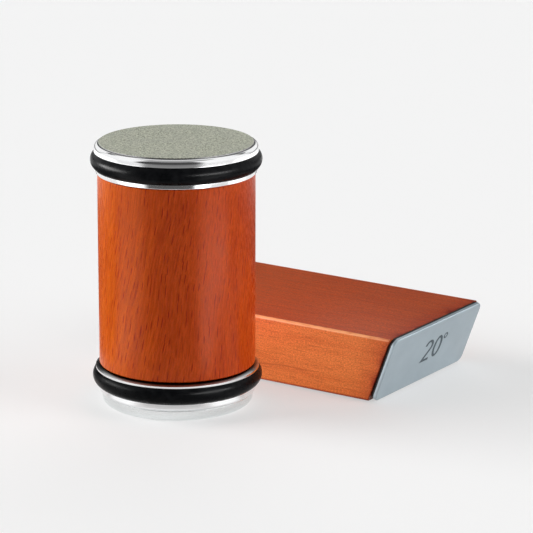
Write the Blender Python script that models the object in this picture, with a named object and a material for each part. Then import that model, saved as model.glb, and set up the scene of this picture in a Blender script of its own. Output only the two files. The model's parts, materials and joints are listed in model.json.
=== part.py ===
# Rolling knife sharpener: a roller that stands on its honing disc, and its magnetic angle block.
# Units are metres, +Z is up, and the origin is the middle of the honing disc's lower face.
# The block lies along X, behind the roller on the +Y side.

from math import acos, asin, cos, pi, radians, sin, sqrt, tan

import bmesh
import bpy

mm = 0.001

# Clearances
seat_gap = 0.3 * mm
running_gap = 0.3 * mm
glue_gap = 0.2 * mm
cut_overrun = 1.0 * mm
weld_distance = 0.001 * mm

# Shading and edge rules
smooth_angle = radians(30)
chamfer_angle = radians(60)
round_profile = 0.5

# Facets of the round forms
wheel_steps = 40
bearing_steps = 24
magnet_steps = 24
shaft_steps = 20
tyre_section_steps = 10
pocket_steps = 10
groove_steps = 8
corner_steps = 4
fillet_steps = 3
ball_subdivisions = 2

# Grip
grip_radius = 26.5 * mm
grip_length = 65.6 * mm
grip_edge = 0.4 * mm
grip_bore_radius = 10.5 * mm

# Ball bearings, two alike
bearing_bore_radius = 4.0 * mm
bearing_radius = 11.0 * mm
bearing_width = 7.0 * mm
bearing_inset = 2.0 * mm
ball_count = 7
ball_radius = 1.98 * mm
land_offset = 1.45 * mm
outer_ring_rim = 0.95 * mm
shield_seat_depth = 0.9 * mm
shield_thickness = 0.35 * mm
shield_clearance = 0.4 * mm
cage_inner_offset = 1.0 * mm
cage_outer_offset = 0.9 * mm

# Bearing cups
cup_wall = 1.7 * mm
cup_flange_radius = 17.0 * mm
cup_flange_thickness = 1.5 * mm
cup_floor = 1.7 * mm
cup_floor_bore_radius = 9.0 * mm

# Axle, spacer and hub screws
axle_hub_depth = 3.1 * mm
tapped_hole_radius = 2.7 * mm
tapped_hole_depth = 12.0 * mm
spacer_wall = 1.5 * mm
screw_head_radius = 4.4 * mm
screw_head_height = 2.2 * mm
screw_length = 11.0 * mm
socket_radius = 1.7 * mm
socket_depth = 1.3 * mm
socket_sides = 6

# Tyres
tyre_radius = 28.8 * mm
tyre_section_radius = 3.0 * mm
tyre_clearance = 0.25 * mm

# Both hubs
boss_radius = 5.8 * mm
magnet_radius = 14.0 * mm
magnet_bore_radius = 6.3 * mm
magnet_thickness = 2.4 * mm
magnet_recess_depth = 2.8 * mm

# Upper hub, measured from the face towards the grip
upper_hub_height = 9.9 * mm
upper_cone_radius = 27.35 * mm
upper_tyre_height = 4.5 * mm
rim_radius = 27.6 * mm
rim_fillet = 1.5 * mm

# Lower hub, measured from the face towards the grip
lower_hub_height = 9.7 * mm
lower_flange_radius = 27.6 * mm
lower_cone_height = 1.1 * mm
lower_tyre_height = 4.1 * mm
lip_radius = 26.6 * mm
lip_taper = 0.7 * mm

# Discs
diamond_radius = 26.0 * mm
diamond_thickness = 1.2 * mm
diamond_proud = 0.5 * mm
diamond_edge = 0.25 * mm
honing_radius = 25.6 * mm
honing_thickness = 3.6 * mm
honing_fillet = 2.0 * mm
honing_edge = 0.3 * mm

# Angle block
block_length = 105.0 * mm
block_width = 60.0 * mm
block_height = 23.6 * mm
block_edge = 1.0 * mm
block_gap = 3.7 * mm
block_shift = 14.4 * mm
angle_right = radians(20)
angle_left = radians(15)

# Plates and the glue behind them
plate_thickness = 1.5 * mm
plate_inset = 0.4 * mm
plate_corner = 2.7 * mm
plate_chamfer = 0.35 * mm
glue_thickness = 0.3 * mm
glue_inset = 0.6 * mm

# Blade magnets
blade_magnet_radius = 6.0 * mm
blade_magnet_thickness = 5.0 * mm
blade_magnet_pitch = 17.0 * mm
blade_magnet_count = 3

# Base pad
pad_length = 68.0 * mm
pad_width = 46.0 * mm
pad_thickness = 1.5 * mm
pad_proud = 0.4 * mm
pad_corner = 4.0 * mm

# Heights that follow from the sizes above
lower_hub_level = honing_thickness + seat_gap
grip_level = lower_hub_level + lower_hub_height + running_gap
grip_top_level = grip_level + grip_length
upper_hub_level = grip_top_level + running_gap
rim_level = upper_hub_level + upper_hub_height
diamond_level = rim_level + diamond_proud - diamond_thickness
bearing_middle = bearing_inset + bearing_width / 2
boss_rise = running_gap + bearing_inset - seat_gap
upper_seat_height = upper_hub_height + diamond_proud - diamond_thickness - seat_gap
axle_radius = bearing_bore_radius - seat_gap
tyre_ring_radius = tyre_radius - tyre_section_radius
groove_radius = tyre_section_radius + tyre_clearance

# Bearing sizes that follow from the sizes above
ball_pitch_radius = (bearing_bore_radius + bearing_radius) / 2
inner_land_radius = ball_pitch_radius - land_offset
outer_land_radius = ball_pitch_radius + land_offset
raceway_radius = ball_radius + seat_gap
shield_seat_radius = bearing_radius - outer_ring_rim
shield_bore_radius = inner_land_radius + shield_clearance
shield_seat_level = bearing_width / 2 - shield_seat_depth
cage_inner_radius = ball_pitch_radius - cage_inner_offset
cage_outer_radius = ball_pitch_radius + cage_outer_offset
cage_half_width = shield_seat_level

# Cup sizes that follow from the sizes above
cup_bore_radius = bearing_radius + seat_gap
cup_radius = cup_bore_radius + cup_wall
cup_depth = bearing_inset + bearing_width + seat_gap + cup_floor

# Finishes: colour, roughness, metallic
finishes = {
    "stained_wood": ((0.46, 0.112, 0.028), 0.32, 0.0),
    "turned_aluminium": ((0.82, 0.83, 0.84), 0.22, 1.0),
    "plain_steel": ((0.56, 0.57, 0.58), 0.3, 1.0),
    "polished_steel": ((0.7, 0.7, 0.71), 0.15, 1.0),
    "satin_steel": ((0.36, 0.45, 0.48), 0.4, 0.6),
    "honing_steel": ((0.72, 0.74, 0.74), 0.3, 0.8),
    "diamond_grit": ((0.36, 0.38, 0.3), 0.75, 0.2),
    "nickel": ((0.62, 0.6, 0.56), 0.25, 1.0),
    "rubber": ((0.012, 0.012, 0.013), 0.3, 0.0),
    "nylon": ((0.7, 0.66, 0.55), 0.5, 0.0),
    "dark_glue": ((0.02, 0.018, 0.018), 0.7, 0.0),
    "pad_rubber": ((0.03, 0.03, 0.032), 0.8, 0.0),
}


def clear_scene():
    """Removes every object that the scene holds."""
    for thing in list(bpy.data.objects):
        bpy.data.objects.remove(thing, do_unlink=True)


def make_material(name, finish):
    """Gives one piece its own material from a named finish."""
    colour, roughness, metallic = finishes[finish]
    material = bpy.data.materials.new(name + "_finish")
    material.use_nodes = True
    shader = material.node_tree.nodes["Principled BSDF"]
    shader.inputs["Base Color"].default_value = (*colour, 1.0)
    shader.inputs["Roughness"].default_value = roughness
    shader.inputs["Metallic"].default_value = metallic
    material.diffuse_color = (*colour, 1.0)
    return material


def add_empty(name, parent=None, location=(0, 0, 0), rotation=(0, 0, 0)):
    """Adds a guide that pieces are placed by."""
    guide = bpy.data.objects.new(name, None)
    guide.parent = parent
    guide.location = location
    guide.rotation_euler = rotation
    guide.hide_render = True
    bpy.context.collection.objects.link(guide)
    return guide


def add_piece(name, shape, finish, parent, location=(0, 0, 0), rotation=(0, 0, 0)):
    """Turns a bmesh into a named piece with its material and its place."""
    bmesh.ops.recalc_face_normals(shape, faces=shape.faces)
    mesh = bpy.data.meshes.new(name)
    shape.to_mesh(mesh)
    shape.free()
    mesh.shade_smooth()
    mesh.set_sharp_from_angle(angle=smooth_angle)
    piece = bpy.data.objects.new(name, mesh)
    piece.data.materials.append(make_material(name, finish))
    piece.parent = parent
    piece.location = location
    piece.rotation_euler = rotation
    bpy.context.collection.objects.link(piece)
    return piece


def add_cutter(name, shape, parent, location=(0, 0, 0), rotation=(0, 0, 0)):
    """Makes a shape that only cuts others."""
    cutter = add_piece(name, shape, "plain_steel", parent, location, rotation)
    cutter.hide_render = True
    cutter.display_type = "WIRE"
    return cutter


def cut(piece, cutter):
    """Takes a cutter's shape out of a piece."""
    boolean = piece.modifiers.new("cut_" + cutter.name, "BOOLEAN")
    boolean.operation = "DIFFERENCE"
    boolean.solver = "EXACT"
    boolean.object = cutter


def arc(centre_r, centre_z, radius, start, end, steps):
    """Points of an arc in the (radius, height) plane, from one angle to the other."""
    turns = [start + (end - start) * step / steps for step in range(steps + 1)]
    return [(centre_r + radius * cos(turn), centre_z + radius * sin(turn)) for turn in turns]


def turned_shape(outline, steps):
    """Spins a (radius, height) outline about +Z. An outline that ends on the axis stays open there."""
    shape = bmesh.new()
    points = [shape.verts.new((radius, 0, height)) for radius, height in outline]
    pairs = list(zip(points, points[1:]))
    if outline[0][0] > 0 or outline[-1][0] > 0:
        pairs.append((points[-1], points[0]))
    edges = [shape.edges.new(pair) for pair in pairs]
    bmesh.ops.spin(
        shape,
        geom=points + edges,
        cent=(0, 0, 0),
        axis=(0, 0, 1),
        angle=2 * pi,
        steps=steps,
        use_merge=True,
    )
    bmesh.ops.remove_doubles(shape, verts=shape.verts, dist=weld_distance)
    return shape


def rod_shape(radius, low, high, steps):
    """A plain round bar about +Z between two heights."""
    return turned_shape([(0, low), (radius, low), (radius, high), (0, high)], steps)


def rounded_slab_shape(length, width, corner, low, high):
    """A slab with rounded corners, centred on the axis, between two heights."""
    shape = bmesh.new()
    outline = []
    for quarter, (side_x, side_y) in enumerate(((1, 1), (-1, 1), (-1, -1), (1, -1))):
        centre_x = side_x * (length / 2 - corner)
        centre_y = side_y * (width / 2 - corner)
        start = quarter * pi / 2
        outline += arc(centre_x, centre_y, corner, start, start + pi / 2, corner_steps)
    face = shape.faces.new([shape.verts.new((x, y, low)) for x, y in outline])
    raised = bmesh.ops.extrude_face_region(shape, geom=[face])
    tops = [item for item in raised["geom"] if isinstance(item, bmesh.types.BMVert)]
    bmesh.ops.translate(shape, verts=tops, vec=(0, 0, high - low))
    return shape


def turned(name, outline, steps, finish, parent, location=(0, 0, 0), rotation=(0, 0, 0)):
    """Adds a turned piece."""
    return add_piece(name, turned_shape(outline, steps), finish, parent, location, rotation)


def groove_outline(tyre_height, start_radius, end_radius):
    """The round groove of a tyre, from the edge nearer the grip to the edge further out."""
    start = -acos((start_radius - tyre_ring_radius) / groove_radius)
    end = acos((end_radius - tyre_ring_radius) / groove_radius)
    return arc(tyre_ring_radius, tyre_height, groove_radius, start, end - 2 * pi, groove_steps)


def hub_core_outline(seat_height):
    """The middle of either hub: magnet recess, screw hole, axle pocket and boss, from outside inwards."""
    recess_floor = seat_height - magnet_recess_depth
    return [
        (magnet_radius + seat_gap, seat_height),
        (magnet_radius + seat_gap, recess_floor),
        (tapped_hole_radius, recess_floor),
        (tapped_hole_radius, axle_hub_depth),
        (bearing_bore_radius, axle_hub_depth),
        (bearing_bore_radius, -boss_rise),
        (boss_radius, -boss_rise),
        (boss_radius, 0),
    ]


def upper_hub_outline():
    """Cone, tyre groove, rounded rim and disc recess."""
    recess_radius = diamond_radius + seat_gap
    fillet_start = rim_radius - rim_fillet
    fillet_level = upper_hub_height - sqrt(rim_fillet**2 - (recess_radius - fillet_start) ** 2)
    fillet_end = asin((upper_hub_height - fillet_level) / rim_fillet)
    outline = [(grip_radius, 0)]
    outline += groove_outline(upper_tyre_height, upper_cone_radius, rim_radius)
    outline += arc(fillet_start, fillet_level, rim_fillet, 0, fillet_end, fillet_steps)
    outline.append((recess_radius, upper_seat_height))
    return outline + hub_core_outline(upper_seat_height)


def lower_hub_outline():
    """Cone, short flange, tyre groove and tapered lip."""
    outline = [(grip_radius, 0), (lower_flange_radius, lower_cone_height)]
    outline += groove_outline(lower_tyre_height, lower_flange_radius, lip_radius)
    outline.append((lip_radius, lower_hub_height - lip_taper))
    outline.append((lip_radius - lip_taper, lower_hub_height))
    return outline + hub_core_outline(lower_hub_height)


def screw_shape():
    """A socket screw with its head at the top and its shank running down."""
    shank_radius = tapped_hole_radius - seat_gap
    outline = [
        (0, -screw_length),
        (shank_radius, -screw_length),
        (shank_radius, 0),
        (screw_head_radius, 0),
        (screw_head_radius, screw_head_height),
        (0, screw_head_height),
    ]
    return turned_shape(outline, shaft_steps)


def add_hub(side, outline, tyre_height, seat_height, parent, level, rotation=(0, 0, 0)):
    """Adds one hub with its tyre, screw and ring magnet, on a guide that points away from the grip."""
    guide = add_empty(side + "_hub_place", parent, (0, 0, level), rotation)
    turned(side + "_hub", outline, wheel_steps, "turned_aluminium", guide)
    tyre_loop = arc(tyre_ring_radius, 0, tyre_section_radius, 0, 2 * pi, tyre_section_steps)
    turned(side + "_tyre", tyre_loop[:-1], wheel_steps, "rubber", guide, (0, 0, tyre_height))
    recess_floor = seat_height - magnet_recess_depth
    screw_level = recess_floor + seat_gap
    screw = add_piece(side + "_hub_screw", screw_shape(), "plain_steel", guide, (0, 0, screw_level))
    socket = rod_shape(socket_radius, 0, socket_depth + cut_overrun, socket_sides)
    socket_level = screw_level + screw_head_height - socket_depth
    cut(screw, add_cutter(side + "_socket_cutter", socket, guide, (0, 0, socket_level)))
    ring = [
        (magnet_bore_radius, 0),
        (magnet_radius, 0),
        (magnet_radius, magnet_thickness),
        (magnet_bore_radius, magnet_thickness),
    ]
    ring_level = recess_floor + (magnet_recess_depth - magnet_thickness) / 2
    turned(side + "_disc_magnet", ring, bearing_steps, "nickel", guide, (0, 0, ring_level))


def add_rolling_set(root):
    """Axle, spacer, inner rings and both hubs, which turn together."""
    axle_low = grip_level - running_gap - axle_hub_depth + seat_gap
    axle_high = upper_hub_level + axle_hub_depth - seat_gap
    axle_outline = [
        (0, axle_low + tapped_hole_depth),
        (tapped_hole_radius, axle_low + tapped_hole_depth),
        (tapped_hole_radius, axle_low),
        (axle_radius, axle_low),
        (axle_radius, axle_high),
        (tapped_hole_radius, axle_high),
        (tapped_hole_radius, axle_high - tapped_hole_depth),
        (0, axle_high - tapped_hole_depth),
    ]
    turned("axle", axle_outline, shaft_steps, "plain_steel", root)
    spacer_low = grip_level + bearing_inset + bearing_width + seat_gap
    spacer_high = grip_top_level - bearing_inset - bearing_width - seat_gap
    spacer_outline = [
        (bearing_bore_radius, spacer_low),
        (bearing_bore_radius + spacer_wall, spacer_low),
        (bearing_bore_radius + spacer_wall, spacer_high),
        (bearing_bore_radius, spacer_high),
    ]
    turned("spacer_tube", spacer_outline, shaft_steps, "turned_aluminium", root)
    upper = upper_hub_outline()
    lower = lower_hub_outline()
    lower_top = grip_level - running_gap
    turned_over = (pi, 0, 0)
    add_hub("upper", upper, upper_tyre_height, upper_seat_height, root, upper_hub_level)
    add_hub("lower", lower, lower_tyre_height, lower_hub_height, root, lower_top, turned_over)


def add_discs(diamond_guide, honing_guide):
    """The abrasive disc on top and the honing disc that the roller stands on."""
    diamond_outline = [
        (0, 0),
        (diamond_radius, 0),
        (diamond_radius, diamond_thickness - diamond_edge),
        (diamond_radius - diamond_edge, diamond_thickness),
        (0, diamond_thickness),
    ]
    turned("diamond_disc", diamond_outline, wheel_steps, "diamond_grit", diamond_guide)
    fillet_centre = honing_radius - honing_fillet
    honing_outline = [(0, 0)]
    honing_outline += arc(fillet_centre, honing_fillet, honing_fillet, -pi / 2, 0, fillet_steps)
    honing_outline += [
        (honing_radius, honing_thickness - honing_edge),
        (honing_radius - honing_edge, honing_thickness),
        (0, honing_thickness),
    ]
    turned("honing_disc", honing_outline, wheel_steps, "honing_steel", honing_guide)


def raceway_outline(land_radius):
    """The ball groove in a ring's land, from its lower edge to its upper edge."""
    half_turn = acos(land_offset / raceway_radius)
    if land_radius > ball_pitch_radius:
        start, end = -half_turn, half_turn
    else:
        start, end = pi + half_turn, pi - half_turn
    return arc(ball_pitch_radius, 0, raceway_radius, start, end, corner_steps)


def add_bearing_rings(side, root_guide, grip_guide):
    """Inner ring on the axle, outer ring in its cup, and the two shields."""
    half_width = bearing_width / 2
    inner = raceway_outline(inner_land_radius)
    inner += [
        (inner_land_radius, half_width),
        (bearing_bore_radius, half_width),
        (bearing_bore_radius, -half_width),
        (inner_land_radius, -half_width),
    ]
    turned(side + "_inner_ring", inner, shaft_steps, "polished_steel", root_guide)
    outer = raceway_outline(outer_land_radius)
    outer += [
        (outer_land_radius, shield_seat_level),
        (shield_seat_radius, shield_seat_level),
        (shield_seat_radius, half_width),
        (bearing_radius, half_width),
        (bearing_radius, -half_width),
        (shield_seat_radius, -half_width),
        (shield_seat_radius, -shield_seat_level),
        (outer_land_radius, -shield_seat_level),
    ]
    turned(side + "_outer_ring", outer, bearing_steps, "polished_steel", grip_guide)
    shield = [
        (shield_bore_radius, 0),
        (shield_seat_radius - seat_gap, 0),
        (shield_seat_radius - seat_gap, shield_thickness),
        (shield_bore_radius, shield_thickness),
    ]
    top_shield_level = shield_seat_level + seat_gap
    base_shield_level = -top_shield_level - shield_thickness
    for place, level in (("top", top_shield_level), ("base", base_shield_level)):
        name = side + "_" + place + "_shield"
        turned(name, shield, bearing_steps, "plain_steel", grip_guide, (0, 0, level))


def add_balls_and_cage(side, guide):
    """The balls, and the cage that spaces them through round pockets."""
    ring = [
        (cage_inner_radius, -cage_half_width),
        (cage_outer_radius, -cage_half_width),
        (cage_outer_radius, cage_half_width),
        (cage_inner_radius, cage_half_width),
    ]
    cage = turned(side + "_cage", ring, bearing_steps, "nylon", guide)
    for number in range(ball_count):
        turn = 2 * pi * number / ball_count
        place = (ball_pitch_radius * cos(turn), ball_pitch_radius * sin(turn), 0)
        ball = bmesh.new()
        bmesh.ops.create_icosphere(ball, subdivisions=ball_subdivisions, radius=ball_radius)
        name = side + "_ball_" + str(number + 1)
        add_piece(name, ball, "polished_steel", guide, place)
        pocket_low = cage_inner_radius - ball_pitch_radius - cut_overrun
        pocket_high = cage_outer_radius - ball_pitch_radius + cut_overrun
        pocket = rod_shape(raceway_radius, pocket_low, pocket_high, pocket_steps)
        cut(cage, add_cutter(name + "_pocket", pocket, guide, place, (0, pi / 2, turn)))


def add_grip(guide):
    """The wooden sleeve with a stepped seat for a bearing cup at each end."""
    flange_seat_radius = cup_flange_radius + seat_gap
    flange_seat_depth = cup_flange_thickness + seat_gap
    cup_seat_radius = cup_radius + seat_gap
    cup_seat_depth = cup_depth + seat_gap
    half = [
        (grip_bore_radius, cup_seat_depth),
        (cup_seat_radius, cup_seat_depth),
        (cup_seat_radius, flange_seat_depth),
        (flange_seat_radius, flange_seat_depth),
        (flange_seat_radius, 0),
        (grip_radius - grip_edge, 0),
        (grip_radius, grip_edge),
    ]
    mirrored = [(radius, grip_length - height) for radius, height in reversed(half)]
    turned("grip", half + mirrored, wheel_steps, "stained_wood", guide, (0, 0, grip_level))


def add_cup(side, guide, level, rotation):
    """A flanged bearing seat, measured from the grip's end inwards."""
    outline = [
        (cup_bore_radius, 0),
        (cup_flange_radius, 0),
        (cup_flange_radius, cup_flange_thickness),
        (cup_radius, cup_flange_thickness),
        (cup_radius, cup_depth),
        (cup_floor_bore_radius, cup_depth),
        (cup_floor_bore_radius, cup_depth - cup_floor),
        (cup_bore_radius, cup_depth - cup_floor),
    ]
    name = side + "_bearing_cup"
    turned(name, outline, bearing_steps, "turned_aluminium", guide, (0, 0, level), rotation)


def add_roller():
    """The whole roller: rolling set, grip, bearings and discs."""
    root = add_empty("rolling_set")
    grip_guide = add_empty("grip_axis", root)
    add_rolling_set(root)
    add_grip(grip_guide)
    lower_middle = grip_level + bearing_middle
    upper_middle = grip_top_level - bearing_middle
    add_cup("lower", grip_guide, grip_level, (0, 0, 0))
    add_cup("upper", grip_guide, grip_top_level, (pi, 0, 0))
    for side, level in (("lower", lower_middle), ("upper", upper_middle)):
        root_place = add_empty(side + "_inner_ring_place", root, (0, 0, level))
        grip_place = add_empty(side + "_outer_ring_place", grip_guide, (0, 0, level))
        cage_axis = add_empty(side + "_cage_axis", root, (0, 0, level))
        add_bearing_rings(side, root_place, grip_place)
        add_balls_and_cage(side, cage_axis)
    diamond_slide = add_empty("diamond_slide", root, (0, 0, diamond_level))
    honing_slide = add_empty("honing_slide", root)
    add_discs(diamond_slide, honing_slide)


def plate_height(angle):
    """How far a plate reaches along its slope."""
    return block_height / cos(angle) - 2 * plate_inset


def block_body_shape():
    """A bar whose ends are undercut, with its long and short edges eased."""
    setback = plate_thickness + glue_thickness + 2 * glue_gap
    shape = bmesh.new()
    corners = []
    for side, angle, height in (
        (1, angle_right, pad_proud),
        (1, angle_right, block_height),
        (-1, angle_left, block_height),
        (-1, angle_left, pad_proud),
    ):
        reach = block_length / 2 - (block_height - height) * tan(angle) - setback / cos(angle)
        corners.append(shape.verts.new((side * reach, -block_width / 2, height)))
    face = shape.faces.new(corners)
    raised = bmesh.ops.extrude_face_region(shape, geom=[face])
    backs = [item for item in raised["geom"] if isinstance(item, bmesh.types.BMVert)]
    bmesh.ops.translate(shape, verts=backs, vec=(0, block_width, 0))
    long_edges = []
    for edge in shape.edges:
        start, end = edge.verts
        if abs(start.co.x - end.co.x) > block_length / 2:
            long_edges.append(edge)
    bmesh.ops.bevel(
        shape,
        geom=long_edges,
        offset=block_edge,
        offset_type="OFFSET",
        segments=fillet_steps,
        profile=round_profile,
        affect="EDGES",
    )
    return shape


def add_block_end(name, body, block, side, angle):
    """One end of the block: plate, glue, magnets and the pockets that hold them."""
    middle_x = side * (block_length - block_height * tan(angle)) / 2
    middle = (middle_x, 0, block_height / 2)
    face = add_empty("end_" + name, block, middle, (pi / 2 + angle, 0, side * pi / 2))
    height = plate_height(angle)
    width = block_width - 2 * plate_inset
    plate_shape = rounded_slab_shape(width, height, plate_corner, -plate_thickness, 0)
    plate = add_piece("plate_" + name, plate_shape, "satin_steel", face)
    chamfer = plate.modifiers.new("chamfer", "BEVEL")
    chamfer.width = plate_chamfer
    chamfer.segments = 1
    chamfer.limit_method = "ANGLE"
    chamfer.angle_limit = chamfer_angle
    glue_top = -plate_thickness - glue_gap
    glue_bottom = glue_top - glue_thickness
    glue_width = width - 2 * glue_inset
    glue_height = height - 2 * glue_inset
    glue_corner = plate_corner - glue_inset
    glue = rounded_slab_shape(glue_width, glue_height, glue_corner, glue_bottom, glue_top)
    add_piece("glue_sheet_" + name, glue, "dark_glue", face)
    wood_face = glue_bottom - glue_gap
    magnet_bottom = wood_face - blade_magnet_thickness
    for number in range(blade_magnet_count):
        across = (number - (blade_magnet_count - 1) / 2) * blade_magnet_pitch
        magnet_name = "blade_magnet_" + name + "_" + str(number + 1)
        magnet = rod_shape(blade_magnet_radius, magnet_bottom, wood_face, magnet_steps)
        add_piece(magnet_name, magnet, "nickel", face, (across, 0, 0))
        pocket_radius = blade_magnet_radius + seat_gap
        pocket_low = magnet_bottom - seat_gap
        pocket = rod_shape(pocket_radius, pocket_low, wood_face + cut_overrun, magnet_steps)
        cut(body, add_cutter(magnet_name + "_pocket", pocket, face, (across, 0, 0)))


def add_angle_block():
    """The wooden block with its two angled ends and its non-slip pad."""
    centre_y = tyre_radius + block_gap + block_width / 2
    block = add_empty("angle_block", None, (block_shift, centre_y, 0))
    body = add_piece("block_body", block_body_shape(), "stained_wood", block)
    add_block_end("20", body, block, 1, angle_right)
    add_block_end("15", body, block, -1, angle_left)
    bottom_middle = (tan(angle_left) - tan(angle_right)) * block_height / 2
    pad_place = add_empty("pad_place", block, (bottom_middle, 0, 0))
    pad_shape = rounded_slab_shape(pad_length, pad_width, pad_corner, 0, pad_thickness)
    add_piece("base_pad", pad_shape, "pad_rubber", pad_place)
    recess_length = pad_length + 2 * seat_gap
    recess_width = pad_width + 2 * seat_gap
    recess_corner = pad_corner + seat_gap
    recess_low = pad_proud - cut_overrun
    recess_high = pad_thickness + seat_gap
    recess = rounded_slab_shape(
        recess_length, recess_width, recess_corner, recess_low, recess_high
    )
    cut(body, add_cutter("pad_recess", recess, pad_place))


clear_scene()
add_roller()
add_angle_block()
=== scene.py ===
import json
from math import acos, asin, atan2, cos, pi, radians, sin, sqrt, tan

import bmesh
import bpy
from mathutils import Euler, Matrix, Vector

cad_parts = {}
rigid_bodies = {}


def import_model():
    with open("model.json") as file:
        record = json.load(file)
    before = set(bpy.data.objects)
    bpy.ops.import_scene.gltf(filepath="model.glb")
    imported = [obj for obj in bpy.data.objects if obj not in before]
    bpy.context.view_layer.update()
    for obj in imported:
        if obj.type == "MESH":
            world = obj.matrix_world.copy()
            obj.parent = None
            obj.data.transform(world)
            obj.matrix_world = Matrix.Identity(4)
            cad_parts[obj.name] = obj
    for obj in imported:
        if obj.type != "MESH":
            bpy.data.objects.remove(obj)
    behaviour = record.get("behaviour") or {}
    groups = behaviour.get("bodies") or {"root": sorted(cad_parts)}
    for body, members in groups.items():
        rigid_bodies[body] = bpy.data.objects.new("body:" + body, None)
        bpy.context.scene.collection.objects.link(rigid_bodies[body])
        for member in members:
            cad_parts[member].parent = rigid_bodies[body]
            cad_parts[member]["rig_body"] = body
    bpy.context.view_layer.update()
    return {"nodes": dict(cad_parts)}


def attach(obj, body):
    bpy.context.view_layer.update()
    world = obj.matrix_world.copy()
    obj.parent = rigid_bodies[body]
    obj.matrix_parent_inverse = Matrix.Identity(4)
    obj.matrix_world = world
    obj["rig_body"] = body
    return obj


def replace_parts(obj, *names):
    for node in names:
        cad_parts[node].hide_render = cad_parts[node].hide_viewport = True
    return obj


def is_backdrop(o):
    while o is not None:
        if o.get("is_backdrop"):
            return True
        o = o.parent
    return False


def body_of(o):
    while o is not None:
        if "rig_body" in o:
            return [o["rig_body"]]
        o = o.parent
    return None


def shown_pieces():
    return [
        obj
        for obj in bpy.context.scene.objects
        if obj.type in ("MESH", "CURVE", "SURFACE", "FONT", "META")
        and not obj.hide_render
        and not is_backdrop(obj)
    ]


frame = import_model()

mm = 0.001

# Sizes of the object, as in its CAD source
tyre_radius = 28.8 * mm
tyre_ring_radius = 25.8 * mm
groove_radius = 3.25 * mm
grip_radius = 26.5 * mm
grip_low = 13.9 * mm
grip_high = 79.5 * mm
upper_hub_level = 79.8 * mm
upper_hub_height = 9.9 * mm
upper_cone_radius = 27.35 * mm
upper_tyre_height = 4.5 * mm
upper_seat = 8.9 * mm
rim_radius = 27.6 * mm
rim_fillet = 1.5 * mm
lower_hub_level = 13.6 * mm
lower_hub_height = 9.7 * mm
lower_tyre_height = 4.1 * mm
lip_radius = 26.6 * mm
lip_taper = 0.7 * mm
boss_radius = 5.8 * mm
axle_hub_depth = 3.1 * mm
magnet_radius = 14.0 * mm
magnet_bore_radius = 6.3 * mm
magnet_thickness = 2.4 * mm
magnet_recess_depth = 2.8 * mm
screw_head_radius = 4.4 * mm
screw_head_height = 2.2 * mm
screw_length = 11.0 * mm
socket_radius = 1.7 * mm
diamond_low = 89.0 * mm
diamond_radius = 26.0 * mm
diamond_thickness = 1.2 * mm
honing_radius = 25.6 * mm
honing_fillet = 2.0 * mm
block_shift = 14.4 * mm
block_centre_y = 62.5 * mm
block_length = 105.0 * mm
block_width = 60.0 * mm
block_height = 23.6 * mm
pad_length = 68.0 * mm
pad_width = 46.0 * mm
pad_thickness = 1.5 * mm
pad_proud = 0.4 * mm
plate_inset = 0.4 * mm
plate_thickness = 1.5 * mm
plate_corner = 2.7 * mm
ends = {"20": (1, radians(20)), "15": (-1, radians(15))}

# Sizes of the visible meshes alone
tyre_half_width = 3.2 * mm
grip_edge = 0.5 * mm
upper_lip_radius = 26.85 * mm
upper_seat_radius = 26.3 * mm
shoulder_radius = 26.3 * mm
shoulder_height = 0.72 * mm
shoulder_zone = 1.1 * mm
flange_radius = 27.75 * mm
honing_thickness = 3.82 * mm
joint_thickness = 0.7 * mm
glue_thickness = 0.68 * mm
digit_depth = 0.12 * mm
digit_overrun = 0.5 * mm
digit_paint_low = -0.16 * mm
digit_paint_high = -0.05 * mm
long_edge_round = 1.1 * mm
short_edge_round = 0.25 * mm
longest_support = 0.12 * mm
slab_support = 0.3 * mm

# Steps of the round forms
wheel_steps = 144
tyre_section_steps = 40
groove_steps = 28
corner_steps = 5
fillet_steps = 10
honing_fillet_steps = 12
screw_steps = 48
slab_corner_steps = 10
slab_edge_steps = 4
smooth_angle = radians(40)
sharpest_mitre = 0.35


# Meshes. An outline is a list of (radius, height, corner radius), in metres.

def soften(outline, closed):
    """Rounds the corners of an outline, and adds support points beside them."""
    count = len(outline)
    points = []
    for index, (radius, height, corner) in enumerate(outline):
        here = Vector((radius, height))
        if corner == 0 or (not closed and index in (0, count - 1)):
            points.append(here)
            continue
        before = Vector(outline[index - 1][:2]) - here
        after = Vector(outline[(index + 1) % count][:2]) - here
        half = before.angle(after) / 2
        reach = corner / tan(half)
        limit = 0.45 * min(before.length, after.length)
        if reach > limit:
            corner *= limit / reach
            reach = limit
        before.normalize()
        after.normalize()
        support = min(longest_support, reach)
        middle = here + (before + after).normalized() * (corner / sin(half))
        first = here + before * reach - middle
        last = here + after * reach - middle
        start = atan2(first.y, first.x)
        turn = atan2(last.y, last.x) - start
        turn = (turn + pi) % (2 * pi) - pi
        points.append(here + before * (reach + support))
        for step in range(corner_steps + 1):
            angle = start + turn * step / corner_steps
            points.append(middle + Vector((cos(angle), sin(angle))) * corner)
        points.append(here + after * (reach + support))
    return points


def arc_points(centre_r, centre_z, radius_r, radius_z, start, end, steps):
    """Points of an elliptic arc, in the form that an outline has."""
    turns = [start + (end - start) * step / steps for step in range(steps + 1)]
    return [(centre_r + radius_r * cos(t), centre_z + radius_z * sin(t), 0) for t in turns]


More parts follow.
